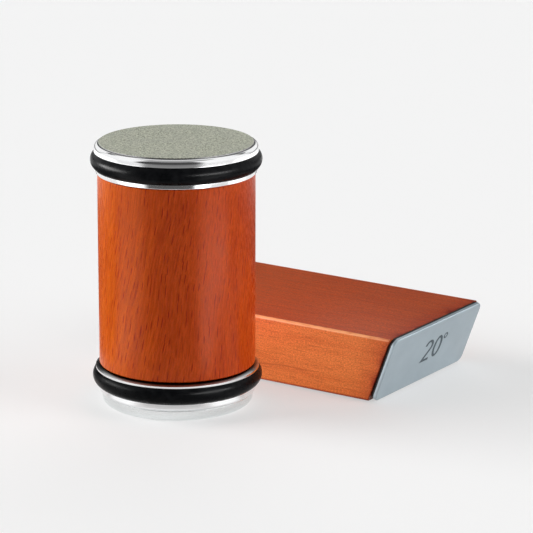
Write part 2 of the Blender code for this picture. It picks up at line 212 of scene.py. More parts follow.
def lathe(outline, steps=wheel_steps, closed=True):
    """Spins an outline about +Z. One that isn't closed starts and ends on the axis."""
    shape = bmesh.new()
    rings = []
    for point in soften(outline, closed):
        if point.x < 1e-7:
            rings.append([shape.verts.new((0, 0, point.y))])
            continue
        ring = []
        for step in range(steps):
            angle = 2 * pi * step / steps
            ring.append(shape.verts.new((point.x * cos(angle), point.x * sin(angle), point.y)))
        rings.append(ring)
    pairs = list(zip(rings, rings[1:]))
    if closed:
        pairs.append((rings[-1], rings[0]))
    for low, high in pairs:
        for step in range(steps):
            after = (step + 1) % steps
            corners = [low[step % len(low)], low[after % len(low)]]
            corners += [high[after % len(high)], high[step % len(high)]]
            shape.faces.new(list(dict.fromkeys(corners)))
    bmesh.ops.recalc_face_normals(shape, faces=shape.faces)
    return shape


def rounded_rectangle(length, width, corner, steps):
    """Corner points of a rectangle with round corners, anticlockwise."""
    points = []
    for quarter, (side_x, side_y) in enumerate(((1, 1), (-1, 1), (-1, -1), (1, -1))):
        middle = Vector((side_x * (length / 2 - corner), side_y * (width / 2 - corner)))
        for step in range(steps + 1):
            angle = (quarter + step / steps) * pi / 2
            points.append(middle + Vector((cos(angle), sin(angle))) * corner)
    return points


def slab(length, width, corner, low, high, edge_low, edge_high):
    """A slab with round corners and softened rims."""
    shape = bmesh.new()
    turns = [pi / 2 * step / slab_edge_steps for step in range(slab_edge_steps + 1)]
    levels = [(edge_low * (1 - sin(turn)), low + edge_low * (1 - cos(turn))) for turn in turns]
    levels += [(edge_high * (1 - cos(turn)), high - edge_high * (1 - sin(turn))) for turn in turns]
    levels.insert(0, (levels[0][0] + slab_support, low))
    levels.append((levels[-1][0] + slab_support, high))
    rings = []
    for inset, level in levels:
        sides = (length - 2 * inset, width - 2 * inset)
        outline = rounded_rectangle(*sides, corner - inset, slab_corner_steps)
        rings.append([shape.verts.new((x, y, level)) for x, y in outline])
    for first, second in zip(rings, rings[1:]):
        count = len(first)
        for step in range(count):
            after = (step + 1) % count
            shape.faces.new((first[step], first[after], second[after], second[step]))
    shape.faces.new(list(reversed(rings[0])))
    shape.faces.new(rings[-1])
    bmesh.ops.recalc_face_normals(shape, faces=shape.faces)
    return shape


def ribbon(points, width, low, high, closed):
    """A flat stroke of even width along a line, between two heights."""
    shape = bmesh.new()
    count = len(points)
    rows = []
    for index, point in enumerate(points):
        here = Vector(point)
        before = Vector(points[index - 1]) if index > 0 or closed else None
        after = Vector(points[(index + 1) % count]) if index < count - 1 or closed else None
        into = (here - before).normalized() if before is not None else (after - here).normalized()
        out = (after - here).normalized() if after is not None else into
        normal_in = Vector((-into.y, into.x))
        normal_out = Vector((-out.y, out.x))
        mitre = (normal_in + normal_out).normalized()
        mitre *= width / 2 / max(mitre.dot(normal_in), sharpest_mitre)
        left = here + mitre
        right = here - mitre
        row = [(left, high), (right, high), (right, low), (left, low)]
        rows.append([shape.verts.new((spot.x, spot.y, level)) for spot, level in row])
    pairs = list(zip(rows, rows[1:]))
    if closed:
        pairs.append((rows[-1], rows[0]))
    for first, second in pairs:
        for side in range(4):
            after = (side + 1) % 4
            shape.faces.new((first[side], first[after], second[after], second[side]))
    if not closed:
        shape.faces.new(rows[0])
        shape.faces.new(list(reversed(rows[-1])))
    bmesh.ops.recalc_face_normals(shape, faces=shape.faces)
    return shape


def make(name, shape, material):
    """Turns a bmesh into an object of the scene."""
    mesh = bpy.data.meshes.new(name)
    shape.to_mesh(mesh)
    shape.free()
    mesh.shade_smooth()
    mesh.set_sharp_from_angle(angle=smooth_angle)
    piece = bpy.data.objects.new(name, mesh)
    bpy.context.scene.collection.objects.link(piece)
    piece.data.materials.append(material)
    return piece


def shift(shape, x=0, y=0, z=0, flip=False):
    """Moves a bmesh, after turning it over where flip is set."""
    if flip:
        shape.transform(Matrix.Rotation(pi, 4, "X"))
    shape.transform(Matrix.Translation((x, y, z)))
    return shape


def join(shapes):
    """Puts several bmeshes in one."""
    whole = bmesh.new()
    for shape in shapes:
        mesh = bpy.data.meshes.new("part")
        shape.to_mesh(mesh)
        shape.free()
        whole.from_mesh(mesh)
        bpy.data.meshes.remove(mesh)
    return whole


def carve(piece, cutters):
    """Takes the cutters out of a piece for good."""
    for cutter in cutters:
        boolean = piece.modifiers.new("cut", "BOOLEAN")
        boolean.operation = "DIFFERENCE"
        boolean.solver = "EXACT"
        boolean.object = cutter
    bpy.context.view_layer.update()
    evaluated = piece.evaluated_get(bpy.context.evaluated_depsgraph_get())
    carved = bpy.data.meshes.new_from_object(evaluated)
    old = piece.data
    piece.modifiers.clear()
    carved.shade_smooth()
    carved.set_sharp_from_angle(angle=smooth_angle)
    piece.data = carved
    bpy.data.meshes.remove(old)
    for cutter in cutters:
        bpy.data.objects.remove(cutter)


# Node trees. Places in them are in millimetres, and the depths of bumps in metres.

def put(tree, kind, inputs=None, **settings):
    """Adds a node. An input is a number, a colour or another node's output."""
    node = tree.nodes.new(kind)
    for key, value in settings.items():
        setattr(node, key, value)
    for key, value in (inputs or {}).items():
        if isinstance(value, bpy.types.NodeSocket):
            tree.links.new(value, node.inputs[key])
        else:
            node.inputs[key].default_value = value
    return node


def maths(tree, operation, first, second=0.0, third=0.0):
    inputs = {0: first, 1: second, 2: third}
    return put(tree, "ShaderNodeMath", inputs, operation=operation).outputs[0]


def product(tree, first, second):
    return maths(tree, "MULTIPLY", first, second)


def either(tree, first, second):
    """The greater of two covers."""
    return maths(tree, "MAXIMUM", first, second)


def vector_maths(tree, operation, first, second=(0, 0, 0)):
    """A vector, or the number that a length, a distance or a dot product is."""
    node = put(tree, "ShaderNodeVectorMath", {0: first, 1: second}, operation=operation)
    return node.outputs[1 if operation in ("LENGTH", "DISTANCE", "DOT_PRODUCT") else 0]


def axes(tree, vector):
    """The X, Y and Z of a vector."""
    return tuple(put(tree, "ShaderNodeSeparateXYZ", {0: vector}).outputs)


def combine(tree, x, y=0.0, z=0.0):
    return put(tree, "ShaderNodeCombineXYZ", {0: x, 1: y, 2: z}).outputs[0]


def tint(tree, factor, first, second, mode="MIX"):
    inputs = {0: factor, 6: first, 7: second}
    return put(tree, "ShaderNodeMix", inputs, data_type="RGBA", blend_type=mode).outputs[2]


def remap(tree, value, low, high, to_low=0.0, to_high=1.0, smooth=True):
    inputs = {0: value, 1: low, 2: high, 3: to_low, 4: to_high}
    kind = "SMOOTHSTEP" if smooth else "LINEAR"
    return put(tree, "ShaderNodeMapRange", inputs, interpolation_type=kind).outputs[0]


def scaled(tree, vector, scale, turn=(0, 0, 0)):
    inputs = {"Vector": vector, "Scale": scale, "Rotation": turn}
    return put(tree, "ShaderNodeMapping", inputs).outputs[0]


def noise(tree, vector, scale=1.0, detail=2.0, roughness=0.5):
    inputs = {"Vector": vector, "Scale": scale, "Detail": detail, "Roughness": roughness}
    return put(tree, "ShaderNodeTexNoise", inputs).outputs[0]


def bump(tree, height, distance, strength):
    inputs = {"Height": height, "Distance": distance, "Strength": strength}
    return put(tree, "ShaderNodeBump", inputs).outputs[0]


def surface(name, **constants):
    """A new material, its tree, its shader, and the object's own coordinates."""
    material = bpy.data.materials.new(name)
    material.use_nodes = True
    tree = material.node_tree
    shader = tree.nodes["Principled BSDF"]
    for key, value in constants.items():
        shader.inputs[key.replace("_", " ")].default_value = value
    place = put(tree, "ShaderNodeTexCoord").outputs["Object"]
    return material, tree, shader, scaled(tree, place, (1 / mm, 1 / mm, 1 / mm))


def wire(tree, shader, **inputs):
    for key, value in inputs.items():
        tree.links.new(value, shader.inputs[key.replace("_", " ")])


# Materials

def vessels(tree, across, along, width, length, spacing, step):
    """Short dark strokes along the grain, one to a cell: their cover of each point, from 0 to 1."""
    column = maths(tree, "DIVIDE", across, spacing)
    row = maths(tree, "DIVIDE", along, step)
    flat = combine(tree, column, row)
    inputs = {"Vector": flat, "Scale": 1.0, "Randomness": 0.9}
    cell = put(tree, "ShaderNodeTexVoronoi", inputs, voronoi_dimensions="2D").outputs
    darkness, shortness, _ = axes(tree, cell["Color"])
    off_x, off_y, _ = axes(tree, vector_maths(tree, "SUBTRACT", flat, cell["Position"]))
    half_length = remap(tree, shortness, 0.0, 1.0, length * 0.3, length * 0.62, False)
    sideways = product(tree, off_x, spacing / (width / 2))
    lengthways = maths(tree, "DIVIDE", product(tree, off_y, step), half_length)
    lengthways = product(tree, lengthways, lengthways)
    square = maths(tree, "MULTIPLY_ADD", sideways, sideways, lengthways)
    stroke = remap(tree, square, 1.5, 0.25)
    return product(tree, stroke, remap(tree, darkness, 0.2, 0.9, 0.12, 1.0))


def painted_rim_light_and_shade(tree, place, colour, top_shade):
    """Paints shade on a block's top, underside and lower rims, and a painted highlight in patches along
    its upper rims.
    """
    _, facing_y, facing_z = axes(tree, put(tree, "ShaderNodeTexCoord").outputs["Normal"])
    # Painted shade: faces turned up or down are darker.
    level = remap(tree, maths(tree, "ABSOLUTE", facing_z), 0.6, 0.97)
    colour = tint(tree, level, colour, top_shade, "MULTIPLY")
    # Painted highlight: the rounded upper rims are lighter, in patches.
    rounded = product(tree, maths(tree, "ABSOLUTE", facing_y), facing_z)
    highlight_noise = noise(tree, scaled(tree, place, (0.3, 1.5, 1.5)), detail=3)
    patches = remap(tree, highlight_noise, 0.25, 0.6, 0.4, 0.95)
    painted_highlight = product(tree, remap(tree, rounded, 0.1, 0.4), patches)
    colour = tint(tree, painted_highlight, colour, (1.0, 0.45, 0.2, 1))
    # Painted shade: the rounded lower rims are darker.
    foot = remap(tree, rounded, -0.05, -0.4, 0.0, 0.8)
    return tint(tree, foot, colour, (0.6, 0.35, 0.35, 1), "MULTIPLY")


def stained_ends(tree, place, colour, slants):
    """Darkens a block towards its slanting ends, in a broad band and in a narrow one at the plate."""
    bands = ((-11, 6, (0.7, 0.46, 0.5, 1)), (-1.8, 1.6, (0.4, 0.16, 0.22, 1)))
    x, _, z = axes(tree, place)
    stain = noise(tree, scaled(tree, place, (0.2, 0.2, 0.2)), detail=3)
    uneven = product(tree, stain, 6.0)
    for foot, slope, side in slants:
        reach = maths(tree, "MULTIPLY_ADD", z, slope, x)
        outward = maths(tree, "MULTIPLY_ADD", reach, side, uneven)
        for low, high, deep in bands:
            darkened = remap(tree, outward, side * foot + low, side * foot + high)
            colour = tint(tree, darkened, colour, deep, "MULTIPLY")
    return colour


def wood(name, round_way, light, mid, dark, pore, fleck, thread, mottle, rough, gloss,
         top_shade=None, slants=()):
    """Stained beech under satin lacquer, with the grain up a turned piece or along a flat one."""
    material, tree, shader, place = surface(name, Specular_IOR_Level=gloss)
    along = place if round_way else scaled(tree, place, (1, 1, 1), (0, pi / 2, 0))
    x, y, z = axes(tree, along)
    waver = noise(tree, scaled(tree, along, (0.05, 0.05, 0.03)), detail=1)
    sway = maths(tree, "MULTIPLY_ADD", waver, 4.0, -2.0)
    slant = maths(tree, "MULTIPLY_ADD", z, 0.2 if round_way else 0.02, sway)
    grain = combine(tree, maths(tree, "SUBTRACT", x, slant), y, z)

    figure = noise(tree, scaled(tree, grain, (0.1, 0.1, 0.012)), detail=2)
    bands = noise(tree, scaled(tree, grain, (0.6, 0.6, 0.026)), detail=3)
    fibres = noise(tree, scaled(tree, grain, (2.0, 2.0, 0.13)), detail=3)
    rays = noise(tree, scaled(tree, grain, (3.2, 3.2, 1.4)), detail=3, roughness=0.65)
    tone = maths(tree, "MULTIPLY_ADD", figure, 0.45, product(tree, bands, 0.55))
    colour = tint(tree, remap(tree, tone, 0.34, 0.66), dark, light)
    colour = tint(tree, 0.45 if round_way else 0.6, colour, mid)
    threads = remap(tree, fibres, 0.3, 0.7, 1 - thread, 1 + thread)
    clouds = remap(tree, rays, 0.3, 0.7, 1 - mottle, 1 + mottle)
    shade = product(tree, threads, clouds)
    colour = tint(tree, 1.0, colour, combine(tree, shade, shade, shade), "MULTIPLY")

    if round_way:
        ahead_x, ahead_y, _ = axes(tree, scaled(tree, place, (1, 1, 1), (0, 0, radians(55))))
        arc = product(tree, maths(tree, "ARCTAN2", ahead_y, ahead_x), grip_radius / mm)
        spread = maths(tree, "MULTIPLY_ADD", z, 0.0025, 1.0)
        unfolded = maths(tree, "MULTIPLY_ADD", z, -0.16, product(tree, arc, spread))
        unfolded = maths(tree, "SUBTRACT", unfolded, sway)
        holes = vessels(tree, unfolded, z, width=0.4, length=4.4, spacing=1.85, step=4.6)
        lines = vessels(tree, unfolded, z, width=0.2, length=9.0, spacing=1.0, step=10.0)
    else:
        unfolded = maths(tree, "ADD", maths(tree, "ADD", x, y), sway)
        holes = vessels(tree, unfolded, z, width=0.32, length=5.0, spacing=2.6, step=6.5)
        lines = vessels(tree, unfolded, z, width=0.5, length=42.0, spacing=8.0, step=48.0)
    colour = tint(tree, product(tree, lines, 0.35), colour, pore)
    colour = tint(tree, product(tree, holes, fleck), colour, pore)
    # Painted light: a turned piece's side towards the left lamp is tinted a lighter orange.
    if round_way:
        painted_lit_side = remap(tree, ahead_y, -2.0, -24.0)
        colour = tint(tree, painted_lit_side, colour, (1.0, 1.42, 0.7, 1), "MULTIPLY")
    # A flat piece can get painted shade on its tops and lower rims and a painted highlight on its upper
    # rims.
    if top_shade:
        colour = painted_rim_light_and_shade(tree, place, colour, top_shade)
    if slants:
        colour = stained_ends(tree, place, colour, slants)
    relief = maths(tree, "SUBTRACT", product(tree, fibres, 0.3), holes)
    wire(tree, shader,
         Base_Color=colour,
         Roughness=remap(tree, fibres, 0.3, 0.7, rough, rough + 0.09),
         Normal=bump(tree, relief, 0.02 * mm, 0.5))
    return material


def turned_metal(name, colour, rough, spread, groove=0.35, depth=0.004, scale=6.0,
                 painted_shade_from=None, painted_shade_to=0.0):
    """Metal with fine turning marks, which depend on the height and the distance from the axis.

    It can paint shade from one distance from the axis inwards to another, darkening a corner where shade
    and dark reflections fall."""
    material, tree, shader, place = surface(name, Metallic=1.0, Anisotropic=groove)
    x, y, z = axes(tree, place)
    radius = vector_maths(tree, "LENGTH", combine(tree, x, y))
    marks = noise(tree, combine(tree, radius, z), scale, 3.0, 0.65)
    smudge = noise(tree, place, 0.09, 3.0)
    level = maths(tree, "MULTIPLY_ADD", marks, 0.5, product(tree, smudge, 0.5))
    darker = [c * 0.93 for c in colour[:3]] + [1]
    shade = tint(tree, remap(tree, level, 0.35, 0.65), darker, colour)
    if painted_shade_from:
        # Painted shade: the metal goes nearly black inwards, for the shadow and dark reflections in the
        # corner under the grip.
        corner = remap(tree, radius, painted_shade_from, painted_shade_to, smooth=False)
        shade = tint(tree, maths(tree, "SQRT", corner), shade, (0.003, 0.003, 0.003, 1))
    tangent = put(tree, "ShaderNodeTangent", direction_type="RADIAL", axis="Z").outputs[0]
    wire(tree, shader,
         Base_Color=shade,
         Roughness=remap(tree, level, 0.35, 0.65, rough - spread, rough + spread),
         Normal=bump(tree, marks, depth * mm, 0.4),
         Tangent=tangent)
    return material


def rubber(name, colour, dusty, rough, scale):
    """Moulded rubber with a fine skin and a little dust."""
    material, tree, shader, place = surface(name, Specular_IOR_Level=0.045)
    skin = noise(tree, place, scale, 3.0, 0.6)
    dust = noise(tree, place, 0.35, 4.0, 0.6)
    wire(tree, shader,
         Base_Color=tint(tree, remap(tree, dust, 0.45, 0.75, 0.0, 0.5), colour, dusty),
         Roughness=remap(tree, dust, 0.3, 0.7, rough - 0.05, rough + 0.08),
         Normal=bump(tree, skin, 0.01 * mm, 0.35))
    return material


def grit(name, light, dark, dull):
    """A steel face plated with fine diamond grains."""
    material, tree, shader, place = surface(name, Metallic=0.15, Specular_IOR_Level=0.2)
    fine = noise(tree, place, 1.5, 3.0, 0.75)
    grains = put(tree, "ShaderNodeTexVoronoi", {"Vector": place, "Scale": 1.7}).outputs[0]
    broad = noise(tree, place, 0.09, 2.0)
    value = maths(tree, "MULTIPLY_ADD", fine, 0.7, product(tree, grains, 0.35))
    colour = tint(tree, remap(tree, value, 0.43, 0.6), dark, light)
    colour = tint(tree, remap(tree, broad, 0.35, 0.65, 0.0, 0.25), colour, dull)
    wire(tree, shader,
         Base_Color=colour,
         Roughness=remap(tree, fine, 0.3, 0.7, 0.5, 0.72),
         Normal=bump(tree, value, 0.08 * mm, 0.5))
    return material


def satin_plate(name, light, dark, rear):
    """Stainless steel ground along the plate's length, with faint smudges and a dark rear edge."""
    material, tree, shader, place = surface(name, Metallic=0.5, Anisotropic=0.3)
    marks = noise(tree, scaled(tree, place, (6.0, 0.12, 6.0)), 1.0, 3.0, 0.6)
    cloud = noise(tree, place, 0.12, 3.0)
    level = maths(tree, "MULTIPLY_ADD", marks, 0.4, product(tree, cloud, 0.6))
    _, _, depth = axes(tree, place)
    colour = tint(tree, remap(tree, level, 0.35, 0.65), dark, light)
    wire(tree, shader,
         Base_Color=tint(tree, remap(tree, depth, -1.0, -1.2), colour, rear),
         Roughness=remap(tree, marks, 0.3, 0.7, 0.3, 0.4),
         Normal=bump(tree, marks, 0.004 * mm, 0.3))
    return material


def plain(name, colour, rough, scale=1.0):
    """A plain finish with a fine uneven skin."""
    material, tree, shader, place = surface(name)
    skin = noise(tree, place, 2.5 * scale, 3.0, 0.6)
    cloud = noise(tree, place, 0.25 * scale, 2.0)
    darker = [c * 0.8 for c in colour[:3]] + [1]
    wire(tree, shader,
         Base_Color=tint(tree, remap(tree, cloud, 0.3, 0.7), darker, colour),
         Roughness=remap(tree, skin, 0.3, 0.7, rough * 0.85, rough * 1.15),
         Normal=bump(tree, skin, 0.01 * mm, 0.3))
    return material


# Where the stain lies at the block's ends: X at the floor, its fall for each millimetre up, and the side
block_slants = ((58.6, -0.364, 1), (-32.1, 0.268, -1))
aluminium_colour = (0.92, 0.923, 0.93, 1)

# The grip's wood has painted light on its side towards the left lamp.
grip_wood = wood(
    "grip_wood", round_way=True,
    light=(0.69, 0.091, 0.008, 1), mid=(0.59, 0.068, 0.006, 1),
    dark=(0.48, 0.045, 0.004, 1), pore=(0.3, 0.005, 0.0003, 1),
    fleck=0.9, thread=0.09, mottle=0.1, rough=0.22, gloss=0.18)
# The block's wood has painted shade on its tops and lower rims and a painted highlight on its upper rims.
block_wood = wood(
    "block_wood", round_way=False,
    light=(0.77, 0.215, 0.052, 1), mid=(0.68, 0.168, 0.037, 1),
    dark=(0.54, 0.105, 0.021, 1), pore=(0.25, 0.03, 0.008, 1),
    fleck=0.4, thread=0.07, mottle=0.28, rough=0.36, gloss=0.22,
    top_shade=(0.84, 0.5, 0.3, 1), slants=block_slants)
aluminium = turned_metal("polished_aluminium", aluminium_colour, rough=0.12, spread=0.03)
# The lower hub's shoulder, with painted shade in the corner under the grip.
shoulder_metal_painted_shade = turned_metal(
    "shoulder_aluminium", aluminium_colour, rough=0.2, spread=0.03, painted_shade_from=27.8, painted_shade_to=26.6)
steel_turned = turned_metal(
    "honing_steel", (0.87, 0.89, 0.89, 1), rough=0.26, spread=0.05, groove=0.5, depth=0.006)
bright_steel = turned_metal(
    "bearing_steel", (0.72, 0.72, 0.73, 1), rough=0.12, spread=0.03, scale=8.0)
plain_steel = turned_metal("plain_steel", (0.56, 0.57, 0.58, 1), rough=0.28, spread=0.06)
disc_edge = turned_metal("disc_edge", (0.5, 0.5, 0.5, 1), rough=0.2, spread=0.04)
nickel = turned_metal("nickel_plate", (0.64, 0.61, 0.56, 1), rough=0.22, spread=0.05)
tyre_rubber = rubber(
    "tyre_rubber", (0.0016, 0.0017, 0.002, 1), dusty=(0.006, 0.0063, 0.007, 1), rough=0.28, scale=5.0)
pad_rubber = rubber(
    "pad_rubber", (0.022, 0.022, 0.024, 1), dusty=(0.05, 0.05, 0.052, 1), rough=0.75, scale=2.5)
diamond_grit = grit(
    "diamond_grit", light=(0.57, 0.585, 0.475, 1), dark=(0.22, 0.23, 0.18, 1), dull=(0.42, 0.43, 0.38, 1))
# The plates' blue-grey colour is the steel's own grey with a painted reflection of blue surroundings.
plate_steel = satin_plate(
    "plate_steel", light=(0.44, 0.52, 0.57, 1), dark=(0.405, 0.485, 0.535, 1), rear=(0.02, 0.018, 0.02, 1))
dark_glue = plain("dark_glue", (0.018, 0.014, 0.013, 1), rough=0.6)
digit_paint = plain("digit_paint", (0.09, 0.12, 0.142, 1), rough=0.55, scale=2.0)
nylon = plain("cage_nylon", (0.7, 0.66, 0.55, 1), rough=0.5)


# The roller

def groove(tyre_height, start_radius, end_radius):
    """The tyre's groove, from the edge nearer the grip to the edge further out."""
    start = acos((start_radius - tyre_ring_radius) / groove_radius)
    end = acos((end_radius - tyre_ring_radius) / groove_radius)
    centre = (tyre_ring_radius, tyre_height)
    points = arc_points(*centre, groove_radius, groove_radius, -start, end - 2 * pi, groove_steps)
    rim = 0.12 * mm
    points[0] = (*points[0][:2], rim)
    points[-1] = (*points[-1][:2], rim)
    return points


def hub_core(seat):
    """Magnet recess, screw hole, axle pocket and boss, which both hubs have."""
    floor = seat - magnet_recess_depth
    recess_radius = magnet_radius + 0.3 * mm
    hole_radius = 2.7 * mm
    pocket_radius = 4.0 * mm
    boss_level = -2.0 * mm
    return [
        (recess_radius, seat, 0.15 * mm), (recess_radius, floor, 0.1 * mm),
        (hole_radius, floor, 0.2 * mm), (hole_radius, axle_hub_depth, 0.05 * mm),
        (pocket_radius, axle_hub_depth, 0.05 * mm), (pocket_radius, boss_level, 0.15 * mm),
        (boss_radius, boss_level, 0.2 * mm), (boss_radius, 0, 0.1 * mm),
    ]


def upper_hub():
    """A hub with a lip towards the grip and a polished round rim about the diamond disc."""
    past_middle = 0.2 * mm
    middle_r = rim_radius - rim_fillet
    middle_z = upper_hub_height - sqrt(rim_fillet**2 - past_middle**2)
    top = asin((upper_hub_height - middle_z) / rim_fillet)
    outline = [(upper_lip_radius, 0, 0.3 * mm)]
    outline += groove(upper_tyre_height, upper_cone_radius, rim_radius)
    outline += arc_points(middle_r, middle_z, rim_fillet, rim_fillet, 0, top, fillet_steps)
    outline[-1] = (*outline[-1][:2], 0.05 * mm)
    outline += [(upper_seat_radius, upper_seat, 0.1 * mm)]
    return lathe(outline + hub_core(upper_seat))


def lower_hub():
    """A hub with a sloping shoulder under the grip and a tapered lip at the honing disc."""
    outline = [(shoulder_radius, 0, 0.05 * mm), (flange_radius, shoulder_height, 0.08 * mm)]
    outline += groove(lower_tyre_height, flange_radius, lip_radius)
    outline += [
        (lip_radius, lower_hub_height - lip_taper, 0.3 * mm),
        (lip_radius - lip_taper, lower_hub_height, 0.15 * mm),
    ]
    return lathe(outline + hub_core(lower_hub_height))


def tyre():
    section_radius = tyre_radius - tyre_ring_radius
    section = arc_points(
        tyre_ring_radius, 0, section_radius, tyre_half_width, 0, 2 * pi, tyre_section_steps)
    return lathe(section[:-1])


def grip():
    """The sleeve, stepped inside both ends for the bearing cups."""
    bore, cup, cup_flange = 10.5 * mm, 13.3 * mm, 17.3 * mm
    cup_depth, flange_depth = 12.8 * mm, 1.8 * mm
    half = [
        (bore, cup_depth, 0), (cup, cup_depth, 0), (cup, flange_depth, 0.1 * mm),
        (cup_flange, flange_depth, 0), (cup_flange, 0, 0.2 * mm), (grip_radius, 0, grip_edge),
    ]
    length = grip_high - grip_low
    mirrored = [(radius, length - height, corner) for radius, height, corner in reversed(half)]
    middle = [(grip_radius, length * share, 0) for share in (0.2, 0.4, 0.6, 0.8)]
    return shift(lathe(half + middle + mirrored), z=grip_low)


def diamond():
    outline = [
        (0, 0, 0), (diamond_radius, 0, 0.1 * mm),
        (diamond_radius, diamond_thickness, 0.28 * mm), (0, diamond_thickness, 0),
    ]
    return shift(lathe(outline, closed=False), z=diamond_low)


def honing():
    """The steel disc, with fine concentric grooves in its working face."""
    ring_count = 26
    innermost = 2.0 * mm
    pitch = 0.8 * mm
    depth = 0.07 * mm
    outline = [(0, 0, 0)]
    for ring in range(ring_count):
        start = innermost + ring * pitch
        outline += [(start, 0, 0), (start + pitch * 0.25, depth, 0), (start + pitch * 0.5, 0, 0)]
    middle = (honing_radius - honing_fillet, honing_fillet)
    outline += arc_points(*middle, honing_fillet, honing_fillet, -pi / 2, 0, honing_fillet_steps)
    outline += [(honing_radius, honing_thickness, 0.25 * mm), (0, honing_thickness, 0)]
    return lathe(outline, closed=False)


def ring_magnet():
    return lathe([
        (magnet_bore_radius, 0, 0.2 * mm), (magnet_radius, 0, 0.3 * mm),
        (magnet_radius, magnet_thickness, 0.3 * mm), (magnet_bore_radius, magnet_thickness, 0.2 * mm),
    ])


def screw():
    """A screw with a domed head, whose underside is at height 0."""
    shank_radius = 2.4 * mm
    outline = [
        (0, -screw_length, 0), (shank_radius, -screw_length, 0.3 * mm),
        (shank_radius, 0, 0), (screw_head_radius, 0, 0.15 * mm),
        (screw_head_radius, screw_head_height, 0.5 * mm), (0, screw_head_height, 0),
    ]
    return lathe(outline, screw_steps, closed=False)


def socket():
    """The hexagon that is cut out of a screw's head, half of it above the head."""
    shape = bmesh.new()
    size = {"radius1": socket_radius, "radius2": socket_radius, "depth": 2.6 * mm}
    bmesh.ops.create_cone(shape, cap_ends=True, segments=6, **size)
    return shape


def add_roller():
    """The roller's visible pieces, in place of their CAD nodes."""
    magnet_gap = 0.2 * mm
    screw_gap = 0.3 * mm
    for side, level, flip, seat, tyre_height, hub in (
        ("upper", upper_hub_level, False, upper_seat, upper_tyre_height, upper_hub),
        ("lower", lower_hub_level, True, lower_hub_height, lower_tyre_height, lower_hub),
    ):
        sign = -1 if flip else 1
        piece = make("turned_" + side + "_hub", shift(hub(), z=level, flip=flip), aluminium)
        # The lower hub's shoulder faces take the metal with painted shade.
        if flip:
            piece.data.materials.append(shoulder_metal_painted_shade)
            for face in piece.data.polygons:
                if face.normal.z > 0.5 and face.center.z > level - shoulder_zone:
                    face.material_index = 1
        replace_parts(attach(piece, "rolling_set"), side + "_hub")
        piece = make("round_" + side + "_tyre", shift(tyre(), z=level + sign * tyre_height), tyre_rubber)
        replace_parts(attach(piece, "rolling_set"), side + "_tyre")
        floor = seat - magnet_recess_depth
        shape = shift(ring_magnet(), z=level + sign * (floor + magnet_gap), flip=flip)
        magnet = make("ring_" + side + "_magnet", shape, nickel)
        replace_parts(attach(magnet, "rolling_set"), side + "_disc_magnet")
        head = level + sign * (floor + screw_gap)
        bolt = make("socket_" + side + "_screw", shift(screw(), z=head, flip=flip), plain_steel)
        cutter = shift(socket(), z=head + sign * screw_head_height)
        carve(bolt, [make("socket", cutter, plain_steel)])
        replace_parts(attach(bolt, "rolling_set"), side + "_hub_screw")
    sleeve = make("wooden_grip", grip(), grip_wood)
    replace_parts(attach(sleeve, "grip"), "grip")
    plate = make("diamond_plate", diamond(), diamond_grit)
    plate.data.materials.append(disc_edge)
    for face in plate.data.polygons:
        face.material_index = 0 if face.normal.z > 0.7 else 1
    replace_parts(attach(plate, "diamond_disc"), "diamond_disc")
    base = make("honing_plate", honing(), steel_turned)
    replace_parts(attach(base, "honing_disc"), "honing_disc")


# The angle block

def ease(shape, edges, size, steps):
    """Rounds edges off."""
    bmesh.ops.bevel(
        shape, geom=edges, offset=size, offset_type="OFFSET", segments=steps, profile=0.5, affect="EDGES")


def block():
    """A bar with undercut ends and eased edges."""
    shape = bmesh.new()
    setback = plate_thickness + joint_thickness
    corners = []
    ways = (("20", pad_proud), ("20", block_height), ("15", block_height), ("15", pad_proud))
    for name, height in ways:
        side, angle = ends[name]
        reach = block_length / 2 - (block_height - height) * tan(angle) - setback / cos(angle)
        corners.append(shape.verts.new((side * reach, -block_width / 2, height)))
    face = shape.faces.new(corners)
    raised = bmesh.ops.extrude_face_region(shape, geom=[face])
    backs = [item for item in raised["geom"] if isinstance(item, bmesh.types.BMVert)]
    bmesh.ops.translate(shape, verts=backs, vec=(0, block_width, 0))
    bmesh.ops.recalc_face_normals(shape, faces=shape.faces)
    long_edges = []
    for edge in shape.edges:
        start, end = edge.verts
        if abs(start.co.x - end.co.x) > block_length / 2:
            long_edges.append(edge)
    ease(shape, long_edges, long_edge_round, 6)
    short_edges = []
    for edge in shape.edges:
        if len(edge.link_faces) == 2 and edge.calc_face_angle(0) > smooth_angle:
            short_edges.append(edge)
    ease(shape, short_edges, short_edge_round, 3)
    return shape


def place_end(name):
    """Where an end's own axes lie: X across the block, Y up the slope and Z outwards."""
    side, angle = ends[name]
    middle_x = block_shift + side * (block_length - block_height * tan(angle)) / 2
    turn = Euler((pi / 2 + angle, 0, side * pi / 2)).to_matrix().to_4x4()
    return Matrix.Translation((middle_x, block_centre_y, block_height / 2)) @ turn


# The digits' lines are in millimetres. They are drawn narrow and then stretched sideways, which makes
# the upright strokes the bolder ones.
stroke_stretch = 1.3
digit_stroke = 1.05
degree_stroke = 0.58


def lay(points, move):
    """Places a digit's line on the plate, narrowed by what number() widens it again."""
    return [((x + move[0]) / stroke_stretch * mm, (y + move[1]) * mm) for x, y in points]


def bow(centre, radii, start, end, steps):
    """Points of an elliptic arc between two angles in degrees."""
    turns = [radians(start + (end - start) * step / steps) for step in range(steps + 1)]
    return [(centre[0] + radii[0] * cos(t), centre[1] + radii[1] * sin(t)) for t in turns]


